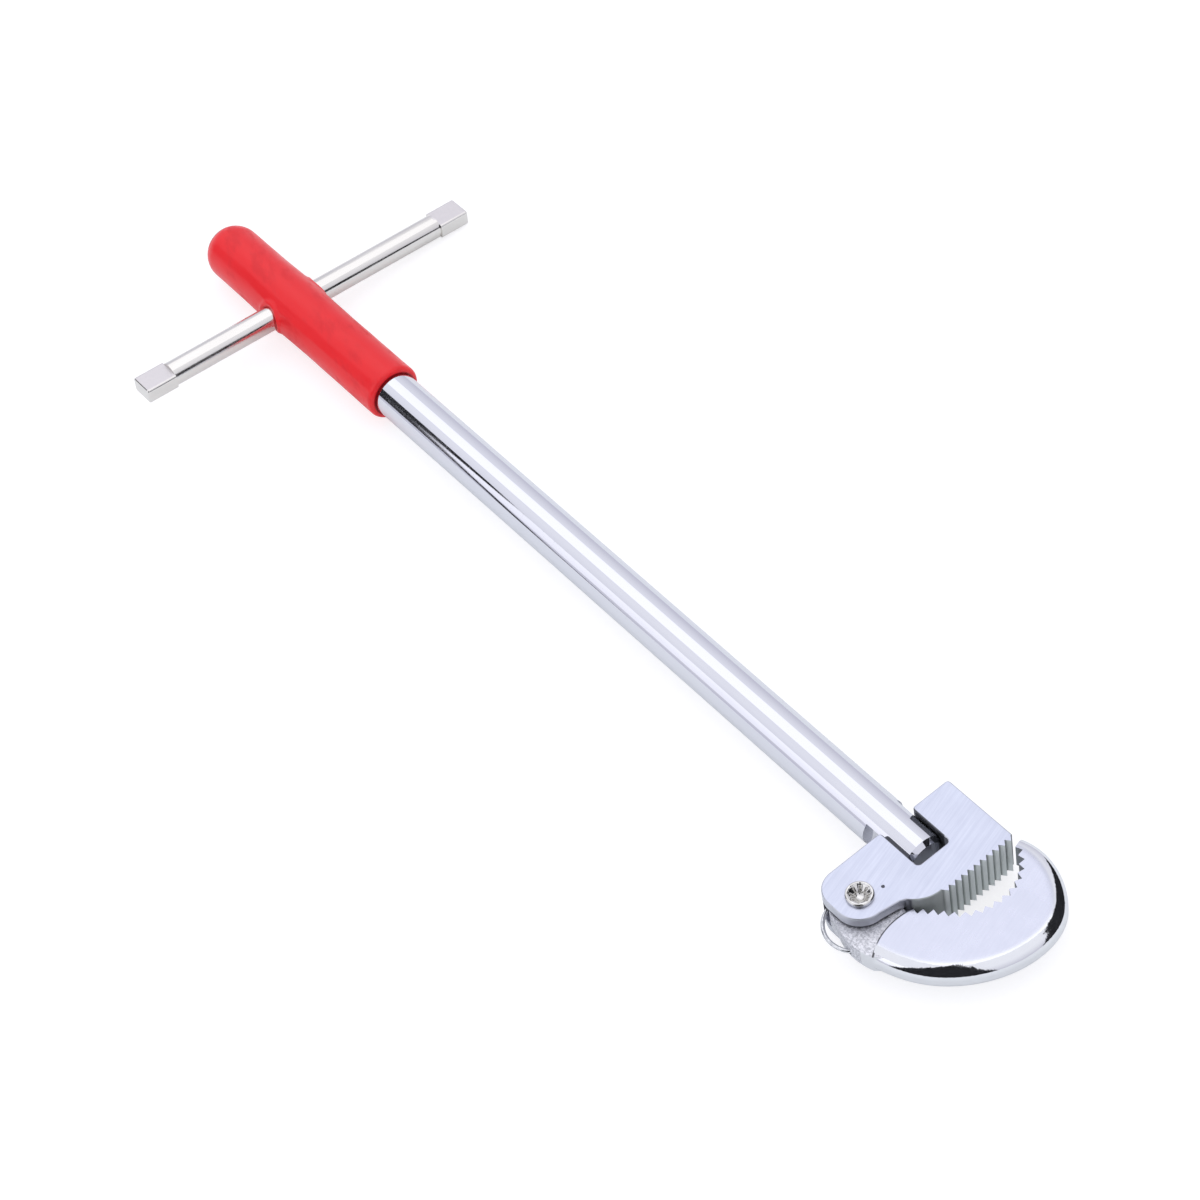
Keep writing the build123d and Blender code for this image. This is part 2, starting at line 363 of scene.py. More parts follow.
def remap(tree, value, low, high, to_low=0.0, to_high=1.0):
    """value rescaled from low..high to to_low..to_high, eased and kept inside that range."""
    inputs = {"Value": value, "From Min": low, "From Max": high, "To Min": to_low, "To Max": to_high}
    node = add(tree, "ShaderNodeMapRange", inputs, interpolation_type="SMOOTHSTEP")
    return node.outputs["Result"]


def below(tree, value, limit, soft):
    """Mask that is 1 up to limit and then fades to 0 within soft."""
    return remap(tree, value, limit + soft, limit)


def beyond(tree, value, limit, soft):
    """Mask that is 1 from limit on, and fades in within the soft before it."""
    return remap(tree, value, limit - soft, limit)


def place(tree, scale, turn=(0, 0, 0)):
    """The piece's own coordinates in millimetres, turned and then scaled."""
    coords = add(tree, "ShaderNodeTexCoord").outputs["Object"]
    angles = [math.radians(angle) for angle in turn]
    spun = add(tree, "ShaderNodeMapping", {"Vector": coords, "Rotation": angles}).outputs["Vector"]
    size = [value / MM for value in scale]
    return add(tree, "ShaderNodeMapping", {"Vector": spun, "Scale": size}).outputs["Vector"]


def noise(tree, scale, detail=4.0, rough=0.6, turn=(0, 0, 0)):
    """Soft irregular pattern. scale is how many cells it has to a millimetre along each axis,
    after the turn."""
    inputs = {"Vector": place(tree, scale, turn), "Scale": 1.0, "Detail": detail, "Roughness": rough}
    return add(tree, "ShaderNodeTexNoise", inputs).outputs["Fac"]


def even_noise(tree, scale, detail=4.0, rough=0.6):
    """Noise with the same scale in all directions."""
    return noise(tree, (scale, scale, scale), detail, rough)


def mix_colour(tree, factor, first, second):
    """Colour from first at factor 0 to second at factor 1."""
    first_colour_input = 6
    colour_output = 2
    node = add(tree, "ShaderNodeMix", {"Factor": factor}, data_type="RGBA")
    for index, value in enumerate((first, second), first_colour_input):
        if isinstance(value, bpy.types.NodeSocket):
            tree.links.new(value, node.inputs[index])
        else:
            node.inputs[index].default_value = (*value, 1)
    return node.outputs[colour_output]


def stain(tree, mask, strength, colour, dark):
    """The colour, darkened where the mask is up."""
    return mix_colour(tree, times(tree, mask, strength), colour, dark)


def mix_value(tree, factor, first, second):
    """Number from first at factor 0 to second at factor 1."""
    node = add(tree, "ShaderNodeMix", {0: factor, 2: first, 3: second}, data_type="FLOAT")
    return node.outputs[0]


def bump(tree, height, depth, strength=1.0, under=None):
    """Surface relief. depth is the height in metres that a full step of the pattern stands for."""
    inputs = {"Height": height, "Distance": depth, "Strength": strength}
    if under is not None:
        inputs["Normal"] = under
    return add(tree, "ShaderNodeBump", inputs).outputs["Normal"]


def new_material(name, metallic):
    material = bpy.data.materials.new(name)
    material.use_nodes = True
    shader = material.node_tree.nodes["Principled BSDF"]
    shader.inputs["Metallic"].default_value = metallic
    return material, material.node_tree, shader


def surface(tree, shader, colour, rough, normal):
    tree.links.new(colour, shader.inputs["Base Color"])
    tree.links.new(rough, shader.inputs["Roughness"])
    tree.links.new(normal, shader.inputs["Normal"])


def position(tree):
    """The piece's own x, y and z in millimetres, as three outputs."""
    return add(tree, "ShaderNodeSeparateXYZ", {"Vector": place(tree, (1, 1, 1))}).outputs


def facing(tree):
    """The surface's own direction as three outputs, fixed to the piece."""
    normal = add(tree, "ShaderNodeTexCoord").outputs["Normal"]
    return add(tree, "ShaderNodeSeparateXYZ", {"Vector": normal}).outputs


# ---------------------------------------------------------------- materials
# Colours in pairs are a surface's darker and lighter patches. Places and widths on a piece
# are in millimetres of its own frame.

shaft_colours = (0.70, 0.705, 0.765), (0.755, 0.76, 0.80)


def shaft_chrome():
    """Bright plate: long faint draw lines, wiping haze and a slight ripple."""
    material, tree, shader = new_material("shaft_chrome", metallic=1.0)
    haze = noise(tree, (0.05, 0.16, 0.16), detail=3.0)
    lines = noise(tree, (0.02, 2.2, 2.2), detail=3.0)
    specks = even_noise(tree, 1.6, detail=2.0)
    waves = noise(tree, (0.03, 0.12, 0.12), detail=1.0)
    colour = mix_colour(tree, haze, *shaft_colours)
    hazed = remap(tree, haze, 0.35, 0.7, 0.035, 0.10)
    rough = plus(tree, hazed, remap(tree, specks, 0.62, 0.75, 0.0, 0.10))
    ripple = bump(tree, waves, depth=0.05 * MM, strength=0.4)
    normal = bump(tree, lines, depth=0.002 * MM, strength=0.5, under=ripple)
    surface(tree, shader, colour, rough, normal)
    return material


grip_reds = (0.76, 0.009, 0.014), (0.86, 0.014, 0.020)
scuff_colour = (0.42, 0.014, 0.022)
scuff_strength = 0.24
# Painted shade: darker red round the inside of the mouth, where the sleeve meets the shaft
mouth_shade_colour = (0.20, 0.004, 0.008)
mouth_shade_strength = 0.75
mouth_wall = 0.15
mouth_blend = 0.40


def grip_vinyl():
    """Dipped red vinyl: soft gloss, fine orange peel, scuffs and painted shade round the inside of the
    thin mouth, next to the shaft.
    """
    material, tree, shader = new_material("grip_vinyl", metallic=0.0)
    cloud = noise(tree, (0.07, 0.12, 0.12), detail=3.0)
    scuff = noise(tree, (0.10, 0.28, 0.28), turn=(0, 0, 25))
    peel = even_noise(tree, 1.3, detail=2.0)
    grit = even_noise(tree, 5.0, detail=3.0)
    red = mix_colour(tree, cloud, *grip_reds)
    marks = times(tree, remap(tree, scuff, 0.44, 0.66), remap(tree, cloud, 0.38, 0.56))
    colour = stain(tree, marks, scuff_strength, red, scuff_colour)
    where = position(tree)
    # Painted shade close round the shaft, on the inside of the mouth and in the bore
    from_axis = span(tree, minus(tree, where["Y"], shaft_y / MM), where["Z"])
    inside = below(tree, from_axis, shaft_radius / MM + mouth_wall, mouth_blend)
    colour = stain(tree, inside, mouth_shade_strength, colour, mouth_shade_colour)
    clouded = remap(tree, cloud, 0.3, 0.7, 0.34, 0.44)
    rough = plus(tree, clouded, times(tree, marks, 0.2))
    relief = bump(tree, peel, depth=0.03 * MM, strength=0.35)
    normal = bump(tree, grit, depth=0.006 * MM, strength=0.5, under=relief)
    surface(tree, shader, colour, rough, normal)
    shader.inputs["Specular IOR Level"].default_value = 0.25
    shader.inputs["Coat Weight"].default_value = 0.3
    shader.inputs["Coat Roughness"].default_value = 0.16
    shader.inputs["Subsurface Weight"].default_value = 0.06
    shader.inputs["Subsurface Scale"].default_value = 1.5 * MM
    shader.inputs["Subsurface Radius"].default_value = (1.0, 0.2, 0.1)
    return material


bar_rod_colours = (0.70, 0.675, 0.645), (0.80, 0.78, 0.745)
bar_flat_colours = (0.60, 0.57, 0.58), (0.80, 0.77, 0.775)
bar_flat_length = 8.3
bar_tilt = -5.7


def bar_nickel():
    """Warm nickel rod with draw lines, and duller pressed flats at its two ends."""
    material, tree, shader = new_material("bar_nickel", metallic=1.0)
    lines = noise(tree, (2.6, 0.03, 2.6), turn=(bar_tilt, 0, 0))
    haze = noise(tree, (0.3, 0.08, 0.3), detail=3.0)
    pressed = even_noise(tree, 1.1, detail=5.0, rough=0.7)
    away = unsigned(tree, minus(tree, position(tree)["Y"], bar_y / MM))
    half = (bar_high.y - bar_low.y) / 2 / MM
    end = is_more(tree, away, half - bar_flat_length)
    upward = remap(tree, unsigned(tree, facing(tree)["Z"]), 0.90, 0.97)
    on_flat = times(tree, end, upward)
    rod = mix_colour(tree, haze, *bar_rod_colours)
    flat = mix_colour(tree, pressed, *bar_flat_colours)
    colour = mix_colour(tree, on_flat, rod, flat)
    rod_rough = remap(tree, haze, 0.3, 0.7, 0.09, 0.20)
    flat_rough = remap(tree, pressed, 0.3, 0.7, 0.38, 0.55)
    rough = mix_value(tree, on_flat, rod_rough, flat_rough)
    drawn = bump(tree, lines, depth=0.006 * MM, strength=0.5)
    stamped = times(tree, pressed, on_flat)
    normal = bump(tree, stamped, depth=0.06 * MM, strength=0.7, under=drawn)
    surface(tree, shader, colour, rough, normal)
    return material


head_top_colours = (0.53, 0.555, 0.665), (0.62, 0.645, 0.75)
head_side_colours = (0.52, 0.535, 0.58), (0.66, 0.675, 0.72)
head_tooth_colours = (0.80, 0.86, 0.83), (0.96, 0.99, 0.97)
grain_turn = 74

tooth_edge = -2.2
tooth_blend = 0.5
tooth_metallic = 0.45
# Painted shade in the roots of the head's teeth, darkest from root_x down
root_x = 0.1
root_blend = 0.45
root_shade_colour = (0.10, 0.115, 0.11)
root_shade_strength = 0.6

# Shadow line along the cheeks' inner edges, on one side of a slanting line through the rivet:
# the side that shadow_side points to
seam_half = 2.9
seam_blend = 0.25
shadow_side = (0.5, -0.866)
shadow_side_blend = 1.5
seam_shadow_colour = (0.02, 0.02, 0.022)
seam_shadow_strength = 0.95

# Painted shade on the fork's inner walls, in the slot round the shaft's tongue
fork_half = 4.5
fork_half_blend = 0.15
fork_end = -9.3
fork_end_blend = 0.4
fork_shade_colour = (0.05, 0.052, 0.055)
fork_shade_strength = 0.85

# Small punched pit beside the rivet: a dent made by bump, with painted shade inside it
pit_place = (-8.7, -17.1)
pit_radius = 0.42
pit_shade_colour = (0.03, 0.03, 0.035)
pit_shade_strength = 0.9


def cheek_seam_shadow(tree, where):
    """Mask of the shadow line where the hook's tang goes in between the cheeks."""
    inner_edge = below(tree, unsigned(tree, where["Z"]), seam_half, seam_blend)
    behind = below(tree, where["X"], tooth_edge - tooth_blend, tooth_blend)
    out_x = times(tree, minus(tree, where["X"], rivet_x / MM), shadow_side[0])
    out_y = times(tree, minus(tree, where["Y"], rivet_y / MM), shadow_side[1])
    beside = beyond(tree, plus(tree, out_x, out_y), 0.0, shadow_side_blend)
    return times(tree, inner_edge, times(tree, behind, beside))


def fork_wall_shade(tree, where):
    """Mask of the painted shade on the inner walls of the fork that holds the shaft's tongue."""
    across = unsigned(tree, minus(tree, where["Y"], shaft_y / MM))
    between = below(tree, across, fork_half, fork_half_blend)
    return times(tree, between, below(tree, where["X"], fork_end, fork_end_blend))


def punched_pit(tree, where):
    """Mask of the small round pit beside the rivet, on the upper face alone."""
    gap_x = minus(tree, where["X"], pit_place[0])
    gap_y = minus(tree, where["Y"], pit_place[1])
    reach = span(tree, gap_x, gap_y)
    return times(tree, below(tree, reach, pit_radius / 2, pit_radius / 2), is_more(tree, where["Z"], 0.0))


def head_satin():
    """Ground steel: slanted grain on the flat faces, grey cut teeth and a small punched pit, with painted
    shade in the tooth roots, on the fork's inner walls, along the cheeks' inner edges and in the pit.
    """
    material, tree, shader = new_material("head_satin", metallic=1.0)
    grain = noise(tree, (0.25, 5.0, 1.0), detail=5.0, rough=0.75, turn=(0, 0, grain_turn))
    long_grain = noise(tree, (0.05, 1.8, 0.4), detail=3.0, turn=(0, 0, grain_turn))
    cloud = even_noise(tree, 0.14, detail=3.0)
    cast = noise(tree, (1.6, 1.6, 0.5))
    where = position(tree)
    upward = remap(tree, unsigned(tree, facing(tree)["Z"]), 0.93, 0.99)
    toothed = beyond(tree, where["X"], tooth_edge, tooth_blend)

    ground = times(tree, plus(tree, grain, long_grain), 0.5)
    top = mix_colour(tree, remap(tree, ground, 0.3, 0.7), *head_top_colours)
    teeth = mix_colour(tree, cast, *head_tooth_colours)
    # Painted shade in the tooth roots
    root = below(tree, where["X"], root_x, root_blend)
    teeth = stain(tree, root, root_shade_strength, teeth, root_shade_colour)
    side = mix_colour(tree, toothed, mix_colour(tree, cast, *head_side_colours), teeth)
    # Painted shadow line where the tang goes in between the cheeks
    side = stain(tree, cheek_seam_shadow(tree, where), seam_shadow_strength, side, seam_shadow_colour)
    # Painted shade on the fork's inner walls
    side = stain(tree, fork_wall_shade(tree, where), fork_shade_strength, side, fork_shade_colour)
    pit = punched_pit(tree, where)
    # Painted shade inside the punched pit
    colour = stain(tree, pit, pit_shade_strength, mix_colour(tree, upward, side, top), pit_shade_colour)

    dulled = times(tree, toothed, remap(tree, upward, 1.0, 0.0))
    tree.links.new(mix_value(tree, dulled, 1.0, tooth_metallic), shader.inputs["Metallic"])
    side_rough = remap(tree, cast, 0.3, 0.7, 0.32, 0.5)
    top_rough = remap(tree, cloud, 0.3, 0.7, 0.30, 0.38)
    rough = mix_value(tree, upward, side_rough, top_rough)
    brushed = bump(tree, times(tree, ground, upward), depth=0.03 * MM, strength=0.6)
    rough_cut = bump(tree, cast, depth=0.02 * MM, strength=0.5, under=brushed)
    normal = bump(tree, pit, depth=-0.25 * MM, strength=0.8, under=rough_cut)
    surface(tree, shader, colour, rough, normal)
    return material


hook_satin_colours = (0.54, 0.555, 0.65), (0.63, 0.645, 0.74)
hook_mirror_colours = (0.74, 0.75, 0.78), (0.82, 0.83, 0.85)
hook_tooth_colours = (0.24, 0.25, 0.27), (0.42, 0.44, 0.46)
hook_sand_colours = (0.46, 0.465, 0.50), (0.86, 0.86, 0.90)
hook_middle = (2.0, -8.0)
upright_limit = 0.3
flat_limit = 0.9
hook_tooth_rough = 0.35
tang_edge = -2.3
tang_top = 2.6
tang_rough = 0.42

# Painted shadow: the dark line on an arc round the step from the plate down to the tang
step_centre = (12.9, -19.44)
step_radius = 15.35
step_line = 0.32
step_reach = 1.2
step_side = -12.0
step_shadow_colour = (0.03, 0.03, 0.032)
step_shadow_strength = 0.9


def hook_inside(tree, where, turned, steep):
    """Mask of the upright faces that look towards the hook's middle."""
    along_x = times(tree, turned["X"], minus(tree, where["X"], hook_middle[0]))
    along_y = times(tree, turned["Y"], minus(tree, where["Y"], hook_middle[1]))
    outward = plus(tree, along_x, along_y)
    return times(tree, is_less(tree, outward, 0.0), is_less(tree, steep, upright_limit))


def hook_tang(tree, where, steep):
    """Mask of the thin tang: all that lies behind the plate, and its lowered flat faces."""
    behind = is_less(tree, where["X"], tang_edge)
    low = is_less(tree, unsigned(tree, where["Z"]), tang_top)
    lowered = times(tree, low, is_more(tree, steep, flat_limit))
    return math_node(tree, "MAXIMUM", behind, lowered)


def step_shadow(tree, where, upward):
    """Mask of the painted shadow line along the step, on the flat faces near the cheeks."""
    edge_x = minus(tree, where["X"], step_centre[0])
    edge_y = minus(tree, where["Y"], step_centre[1])
    from_step = unsigned(tree, minus(tree, span(tree, edge_x, edge_y), step_radius))
    line = times(tree, remap(tree, from_step, step_line, step_line / 3), upward)
    line = times(tree, line, is_less(tree, where["X"], step_reach))
    return times(tree, line, is_less(tree, where["Y"], step_side))


def hook_plate():
    """Satin flat faces, a mirror-bright rolled rim, grey teeth, a grainy cast tang and a painted shadow
    line along the step.
    """
    material, tree, shader = new_material("hook_plate", metallic=1.0)
    grain = noise(tree, (0.2, 3.2, 1.0), rough=0.7, turn=(0, 0, grain_turn))
    cloud = even_noise(tree, 0.16, detail=3.0)
    cast = even_noise(tree, 1.7, rough=0.8)
    lumps = even_noise(tree, 0.9, detail=2.0)
    ripple = even_noise(tree, 0.22, detail=2.0)
    where = position(tree)
    turned = facing(tree)
    steep = unsigned(tree, turned["Z"])
    upward = remap(tree, steep, 0.955, 0.998)
    inner = hook_inside(tree, where, turned, steep)
    tang = hook_tang(tree, where, steep)

    satin = mix_colour(tree, grain, *hook_satin_colours)
    mirror = mix_colour(tree, cloud, *hook_mirror_colours)
    teeth = mix_colour(tree, cast, *hook_tooth_colours)
    sand = mix_colour(tree, remap(tree, cast, 0.35, 0.65), *hook_sand_colours)
    colour = mix_colour(tree, upward, mirror, satin)
    colour = mix_colour(tree, inner, colour, teeth)
    colour = mix_colour(tree, tang, colour, sand)
    # Painted shadow along the step
    colour = stain(tree, step_shadow(tree, where, upward), step_shadow_strength, colour, step_shadow_colour)

    mirror_rough = remap(tree, cloud, 0.3, 0.7, 0.04, 0.09)
    satin_rough = remap(tree, cloud, 0.3, 0.7, 0.22, 0.32)
    rough = mix_value(tree, upward, mirror_rough, satin_rough)
    rough = mix_value(tree, inner, rough, hook_tooth_rough)
    rough = mix_value(tree, tang, rough, tang_rough)
    rippled = bump(tree, ripple, depth=0.05 * MM, strength=0.4)
    soft = bump(tree, lumps, depth=0.02 * MM, strength=0.6, under=rippled)
    brushed = bump(tree, times(tree, grain, upward), depth=0.02 * MM, strength=0.5, under=soft)
    sandy = times(tree, plus(tree, cast, lumps), tang)
    normal = bump(tree, sandy, depth=0.12 * MM, strength=0.8, under=brushed)
    surface(tree, shader, colour, rough, normal)
    return material


pin_colours = (0.50, 0.51, 0.54), (0.66, 0.67, 0.70)
wire_colours = (0.50, 0.51, 0.53), (0.78, 0.79, 0.80)
rivet_colours = (0.58, 0.57, 0.55), (0.80, 0.79, 0.77)


def small_steel(name, colours, smoothest, roughest, scale):
    """Bright turned or drawn steel for the rivet, the pin and the spring."""
    material, tree, shader = new_material(name, metallic=1.0)
    cloud = even_noise(tree, scale)
    fine = even_noise(tree, 4 * scale, detail=3.0)
    colour = mix_colour(tree, remap(tree, cloud, 0.3, 0.7), *colours)
    rough = remap(tree, cloud, 0.3, 0.7, smoothest, roughest)
    surface(tree, shader, colour, rough, bump(tree, fine, depth=0.01 * MM, strength=0.4))
    return material


# ---------------------------------------------------------------- pieces


def link(name, mesh, material, body, slot_name, *stands_for):
    """New piece with the mesh, which moves with a body and takes the place of CAD nodes."""
    piece = bpy.data.objects.new(name, mesh)
    bpy.context.scene.collection.objects.link(piece)
    mesh.materials.clear()
    mesh.materials.append(material)
    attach(piece, body)
    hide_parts(*stands_for)


def smooth(mesh, angle):
    """Smooth shading that keeps edges sharper than angle."""
    edges = bmesh.new()
    edges.from_mesh(mesh)
    for edge in edges.edges:
        edge.smooth = edge.is_manifold and edge.calc_face_angle(0.0) < math.radians(angle)
    for face in edges.faces:
        face.smooth = True
    edges.to_mesh(mesh)
    edges.free()


def circle_turns(count):
    """Evenly spaced angles once round a circle, in radians."""
    return [2 * math.pi * k / count for k in range(count)]


def grid_mesh(name, rows, around):
    """Closed surface through a list of rings with around points each. The first and the last
    row are single points."""
    verts = [rows[0][0]]
    faces = []
    for ring in rows[1:-1]:
        verts.extend(ring)
    verts.append(rows[-1][0])
    last = len(verts) - 1
    for k in range(around):
        faces.append((0, 1 + (k + 1) % around, 1 + k))
    rings = len(rows) - 2
    for r in range(rings - 1):
        a = 1 + r * around
        b = a + around
        for k in range(around):
            n = (k + 1) % around
            faces.append((a + k, a + n, b + n, b + k))
    a = 1 + (rings - 1) * around
    for k in range(around):
        faces.append((a + k, a + (k + 1) % around, last))
    mesh = bpy.data.meshes.new(name)
    mesh.from_pydata(verts, [], faces)
    mesh.validate()
    return mesh


# Dipped grip. Its inner rings are placed in millimetres from the closed end of its bore, and
# the seam's width and turn are angles in degrees.
grip_wall = 1.45 * MM
grip_end_round = 6.2 * MM
grip_end_steps = 22
grip_mouth_round = 1.1 * MM
grip_mouth_steps = 6
grip_around = 144
grip_steps = 230
swell_height = 0.26 * MM
swell_reach = 8.5 * MM
lip_ring = 3.7 * MM
lip_height = 0.35 * MM
lip_width = 0.6 * MM
seam_height = 0.16 * MM
seam_width = 5.0
seam_length = 60 * MM
seam_turn = 142.0
seam_fade_in = 12
ripple_height = 0.02 * MM
ripple_along = 0.55
ripple_drift = 0.13
bond_gap = 0.02 * MM
mouth_bevel = 0.3 * MM
inner_first_ring = 2.6
inner_ring_step = 6
inner_ring_count = 12
inner_round = 2.5 * MM
inner_round_steps = 6
hole_radius = 3.1 * MM
drill_length = 40 * MM
drill_sides = 96


def grip_profile():
    """Outer line of the sleeve from the middle of its closed end to the mouth, as (x, radius)."""
    outer = shaft_radius + grip_wall
    core = outer - grip_end_round
    points = [(grip_low.x, 0.0), (grip_low.x, core * 0.5)]
    for k in range(grip_end_steps + 1):
        turn = math.pi / 2 * k / grip_end_steps
        x = grip_low.x + grip_end_round * (1 - math.cos(turn))
        points.append((x, core + grip_end_round * math.sin(turn)))
    start = grip_low.x + grip_end_round
    finish = grip_high.x - grip_mouth_round
    for k in range(1, grip_steps + 1):
        points.append((start + (finish - start) * k / grip_steps, outer))
    rim = outer - grip_mouth_round
    for k in range(1, grip_mouth_steps + 1):
        turn = math.pi / 2 * k / grip_mouth_steps
        x = finish + grip_mouth_round * math.sin(turn)
        points.append((x, rim + grip_mouth_round * math.cos(turn)))
    return points


def grip_bore():
    """Inner line of the sleeve from the mouth to the rounded end of its bore, as (x, radius)."""
    inner = shaft_radius + bond_gap
    inner_end = shaft_low.x - bond_gap
    points = [(grip_high.x, inner + bond_gap), (grip_high.x - mouth_bevel, inner)]
    for k in reversed(range(inner_ring_count)):
        points.append((inner_end + (inner_first_ring + inner_ring_step * k) * MM, inner))
    for k in range(1, inner_round_steps + 1):
        turn = math.pi / 2 * k / inner_round_steps
        x = inner_end + inner_round * (1 - math.sin(turn))
        points.append((x, inner - inner_round * (1 - math.cos(turn))))
    points.append((inner_end, 0.0))
    return points


def grip_relief(x, turn, radius):
    """How far the sleeve stands out beyond its plain profile at one point: a swelling and a
    lip round the cross bar, a seam from there to the mouth, and a slight unevenness."""
    point = Vector((x - bar_x, radius * math.cos(turn), radius * math.sin(turn)))
    along = point.dot(bar_axis)
    reach = (point - bar_axis * along).length
    swell = swell_height * math.exp(-((reach / swell_reach) ** 2))
    lip = lip_height * math.exp(-(((reach - lip_ring) / lip_width) ** 2))
    away = math.degrees(turn) - seam_turn
    run = (x - bar_x) / seam_length
    fade = max(0.0, 1 - run) * (1 if run > 0 else math.exp(-((run * seam_fade_in) ** 2)))
    seam = seam_height * fade * math.exp(-((away / seam_width) ** 2))
    ripple = math.sin(x / MM * ripple_along + 2 * math.sin(turn))
    uneven = ripple_height * ripple * math.sin(3 * turn + x / MM * ripple_drift)
    return swell + lip + seam + uneven


def outer_ring(x, radius):
    taper = min(1.0, radius / shaft_radius) ** 4
    ring = []
    for turn in circle_turns(grip_around):
        r = radius + grip_relief(x, turn, radius) * taper
        ring.append((x, shaft_y + r * math.cos(turn), r * math.sin(turn)))
    return ring


def inner_ring(x, radius):
    return [
        (x, shaft_y + radius * math.cos(turn), radius * math.sin(turn))
        for turn in circle_turns(grip_around)
    ]


def make_grip(material):
    """Dipped sleeve with soft swellings round the cross bar and a thin rolled mouth."""
    outside = grip_profile()
    bore = grip_bore()
    rows = [[(outside[0][0], shaft_y, 0.0)]]
    rows += [outer_ring(x, radius) for x, radius in outside[1:]]
    rows += [inner_ring(x, radius) for x, radius in bore[:-1]]
    rows.append([(bore[-1][0], shaft_y, 0.0)])
    mesh = cut_hole(grid_mesh("grip_dipped", rows, grip_around))
    smooth(mesh, 40)
    link("grip_dipped", mesh, material, "handle", "grip_vinyl", "grip_sleeve")


def cut_hole(mesh):
    """The sleeve with the cross bar's hole cut through both of its walls."""
    sleeve = bpy.data.objects.new("sleeve_blank", mesh)
    bpy.context.scene.collection.objects.link(sleeve)
    drill_mesh = bpy.data.meshes.new("drill")
    shape = bmesh.new()
    bmesh.ops.create_cone(
        shape,
        cap_ends=True,
        segments=drill_sides,
        radius1=hole_radius,
        radius2=hole_radius,
        depth=drill_length,
    )
    shape.to_mesh(drill_mesh)
    shape.free()
    drill = bpy.data.objects.new("drill", drill_mesh)
    bpy.context.scene.collection.objects.link(drill)
    along_bar = bar_axis.to_track_quat("Z", "X").to_matrix().to_4x4()
    drill.matrix_world = Matrix.Translation((bar_x, shaft_y, 0)) @ along_bar
    cut = sleeve.modifiers.new("hole", "BOOLEAN")
    cut.operation = "DIFFERENCE"
    cut.solver = "EXACT"
    cut.object = drill
    bpy.context.view_layer.update()
    drilled = sleeve.evaluated_get(bpy.context.evaluated_depsgraph_get())
    made = bpy.data.meshes.new_from_object(drilled)
    made.name = "grip_dipped"
    for piece in (sleeve, drill):
        bpy.data.objects.remove(piece)
    return made


# Rivet. mouth_floor and the petals' sizes are in millimetres, with depths below the crown.
rivet_shank = 2.0 * MM
rivet_petals = 8
rivet_around = 192
rivet_steps = 12
mouth_floor = [(0.0, 1.75), (0.55, 1.72), (0.95, 1.55)]
petal_start = 1.0
petal_reach = 1.25
petal_depth = 1.35
petal_rise = 1.22
petal_curve = 0.8
notch_lead = 1.15
notch_curve = 1.2
rim_notch = 0.25
rim_notch_fade = 0.08
rim_round = 0.42 * MM
rim_turn = 0.75
rim_lift = 0.1 * MM
rim_tuck = 0.02 * MM
rim_seat = 0.25 * MM
foot_round = 0.7 * MM
foot_steps = 8
foot_seat = 0.1 * MM
face_gap = 0.05 * MM
notch_depth = 0.75 * MM
notch_uneven = 0.18


def rivet_profile():
    """Line from the middle of the mouth, over the rim, down the shank to the middle of the foot,
    as (radius, z, share of the notches' depth)."""
    face_top = head_high.z
    face_low = head_low.z
    crown = rivet_high.z
    foot = rivet_low.z
    rim = rivet_high.x - rivet_x
    line = [(radius * MM, crown - depth * MM, 0.0) for radius, depth in mouth_floor]
    for k in range(1, rivet_steps + 1):
        share = k / rivet_steps
        radius = (petal_start + petal_reach * share) * MM
        z = crown - (petal_depth - petal_rise * share ** petal_curve) * MM
        notch = math.sin(math.pi * min(1.0, share * notch_lead) ** notch_curve)
        line.append((radius, z, notch))
    for k in range(rivet_steps + 1):
        turn = math.pi * (rim_turn - rim_turn * k / rivet_steps)
        radius = rim - rim_round + rim_round * math.cos(turn)
        z = crown - rim_round + rim_round * math.sin(turn)
        line.append((radius, z, max(0.0, rim_notch - k * rim_notch_fade)))
    line.append((rim - rim_tuck, face_top + rim_lift, 0.0))
    line.append((rim - rim_seat, face_top, 0.0))
    line.append((rivet_shank, face_top - face_gap, 0.0))
    line.append((rivet_shank, face_low + face_gap, 0.0))
    line.append((rim - foot_seat, face_low, 0.0))
    for k in range(foot_steps + 1):
        turn = math.pi / 2 * k / foot_steps
        radius = rim - foot_round + foot_round * math.cos(turn)
        line.append((radius, foot + foot_round - foot_round * math.sin(turn), 0.0))
    line.append((0.0, foot, 0.0))
    return line


def make_rivet(material):
    """Semi-tubular rivet whose mouth is split into petals and rolled outwards."""
    rows = []
    for radius, z, share in rivet_profile():
        if radius == 0.0:
            rows.append([(rivet_x, rivet_y, z)])
            continue
        ring = []
        for turn in circle_turns(rivet_around):
            valley = max(0.0, math.cos(turn * rivet_petals)) ** 3
            uneven = 1 + notch_uneven * math.sin(turn * 3 + 0.8)
            drop = notch_depth * share * valley * uneven
            x = rivet_x + radius * math.cos(turn)
            ring.append((x, rivet_y + radius * math.sin(turn), z - drop))
        rows.append(ring)
    mesh = grid_mesh("rivet_split", rows, rivet_around)
    smooth(mesh, 50)
    link("rivet_split", mesh, material, "head", "rivet_bright", "jaw_rivet")


# Bow spring. Its start and finish are angles in degrees about the middle of the bow.
bow_radius = 6.5 * MM
bow_start = 198.0
bow_finish = 312.0
bow_steps = 48
tail_length = 2.2 * MM
anchor_in = (0.38 * MM, 0.25 * MM)
wire_sides = 16
wire_spacing = 0.25 * MM
rounding_passes = 4


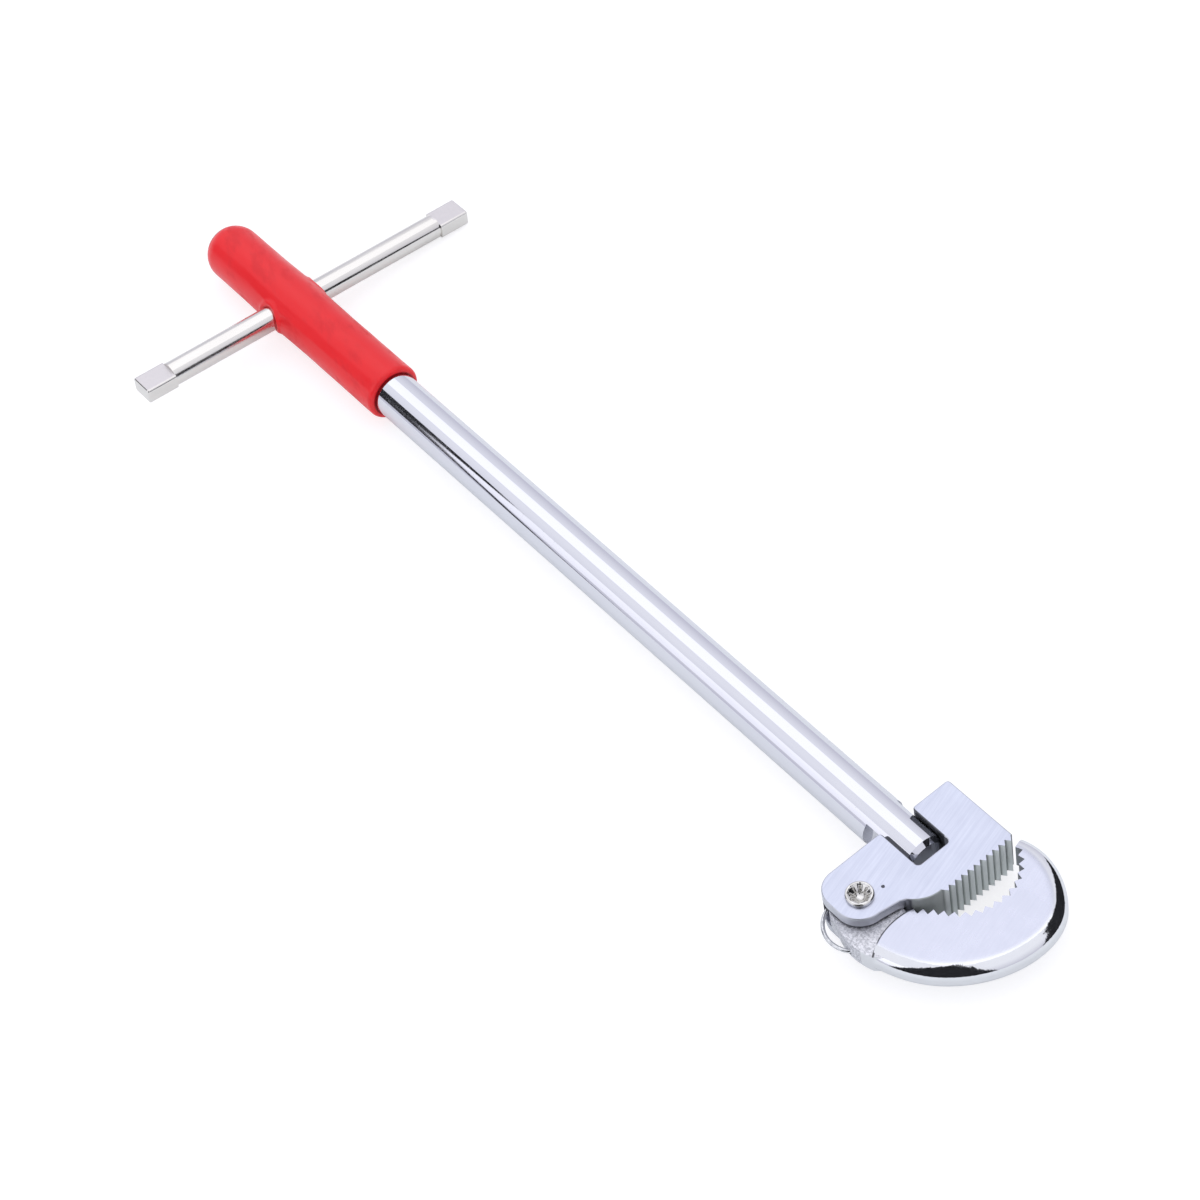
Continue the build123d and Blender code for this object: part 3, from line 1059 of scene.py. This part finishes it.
def wire_path():
    """Middle line of the bow spring, from its anchor in the head to its tail in the hook."""
    low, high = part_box("jaw_spring")
    wire = (high.z - low.z) / 2
    level = (high.z + low.z) / 2
    finish = math.radians(bow_finish)
    middle = Vector(
        (high.x - wire - bow_radius * math.cos(finish), low.y + wire + bow_radius, level)
    )

    def on_bow(turn, radius):
        return middle + Vector((math.cos(turn), math.sin(turn), 0)) * radius

    corners = [Vector((low.x + anchor_in[0], high.y - anchor_in[1], level))]
    for k in range(bow_steps + 1):
        turn = math.radians(bow_start + (bow_finish - bow_start) * k / bow_steps)
        corners.append(on_bow(turn, bow_radius))
    corners.append(on_bow(finish, bow_radius - tail_length))
    points = [corners[0]]
    for a, b in zip(corners, corners[1:]):
        count = max(1, round((b - a).length / wire_spacing))
        points += [a.lerp(b, k / count) for k in range(1, count + 1)]
    for _ in range(rounding_passes):
        inner = [(a + b + c) / 3 for a, b, c in zip(points, points[1:], points[2:])]
        points = [points[0]] + inner + [points[-1]]
    return points, wire


def make_spring(material):
    """Bowed wire, built where the CAD spring lies and shown in its place."""
    points, wire = wire_path()
    upright = Vector((0, 0, 1))
    rows = [[points[0]]]
    for i, point in enumerate(points):
        ahead = points[min(i + 1, len(points) - 1)] - points[max(i - 1, 0)]
        aside = upright.cross(ahead).normalized()
        ring = []
        for turn in circle_turns(wire_sides):
            ring.append(point + (aside * math.cos(turn) - upright * math.sin(turn)) * wire)
        rows.append(ring)
    rows.append([points[-1]])
    mesh = grid_mesh("spring_bow", rows, wire_sides)
    smooth(mesh, 60)
    mesh.materials.append(material)
    piece = bpy.data.objects.new("spring_bow", mesh)
    bpy.context.scene.collection.objects.link(piece)
    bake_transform(piece)
    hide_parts("jaw_spring")


def paint(node, material):
    """Gives a CAD piece its material, and leaves its mesh alone."""
    mesh = frame["nodes"][node].data
    mesh.materials.clear()
    mesh.materials.append(material)


worn_width = 0.35 * MM
worn_segments = 3
worn_angle = 35


def wear_edges(node):
    """Narrow bevel on a CAD piece's sharp edges, as a modifier."""
    soften = frame["nodes"][node].modifiers.new("worn_edges", "BEVEL")
    soften.width = worn_width
    soften.segments = worn_segments
    soften.limit_method = "ANGLE"
    soften.angle_limit = math.radians(worn_angle)
    soften.harden_normals = True


# ---------------------------------------------------------------- build

make_camera()
make_studio()
wear_edges("t_bar")
paint("shaft", shaft_chrome())
paint("t_bar", bar_nickel())
paint("head_body", head_satin())
paint("hook_jaw", hook_plate())
paint("swivel_pin", small_steel("pin_steel", pin_colours, 0.18, 0.32, scale=0.8))
make_spring(small_steel("spring_wire", wire_colours, 0.10, 0.22, scale=1.2))
make_grip(grip_vinyl())
make_rivet(small_steel("rivet_bright", rivet_colours, 0.06, 0.16, scale=0.7))
bpy.context.scene.view_settings.view_transform = "Standard"
